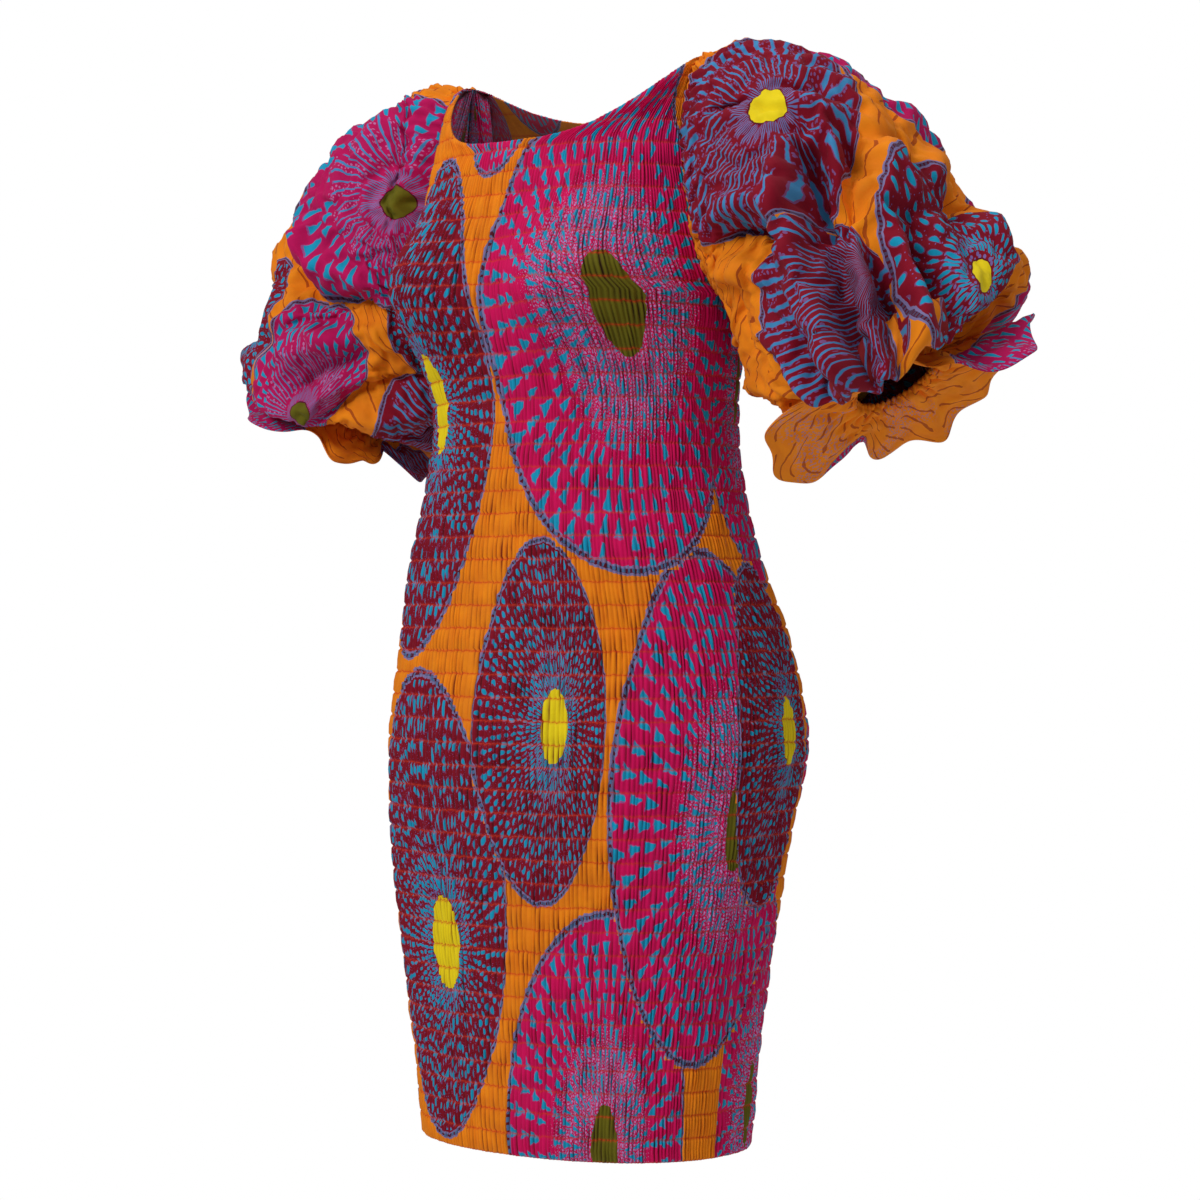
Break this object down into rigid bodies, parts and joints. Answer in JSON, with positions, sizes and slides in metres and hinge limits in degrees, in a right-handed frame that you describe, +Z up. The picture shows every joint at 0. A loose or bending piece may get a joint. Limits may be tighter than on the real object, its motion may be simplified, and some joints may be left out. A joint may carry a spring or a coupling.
{
  "type": "shirred wax print dress",
  "caption": "Knee-length fitted dress, shirred all over, with a wide shallow neck and elbow-length balloon sleeves gathered by elastic above a ruffle.",
  "frame": {"origin": "midway between the two shoulder seams, where the wearer's shoulders hold the dress up", "axes": "+Z up, from the hem to the shoulders; -Y towards the dress's front; +X towards the wearer's left"},
  "size_m": [0.8127, 0.3156, 0.9076],
  "materials": {
    "body_cotton": "matt wax print cotton in pink, maroon and orange",
    "sleeve_cotton": "matt wax print cotton in maroon, pink and orange"
  },
  "bodies": {
    "root": {"front_panel": "body_cotton", "back_panel": "body_cotton", "sleeve_left": "sleeve_cotton", "sleeve_right": "sleeve_cotton"}
  },
  "joints": []
}
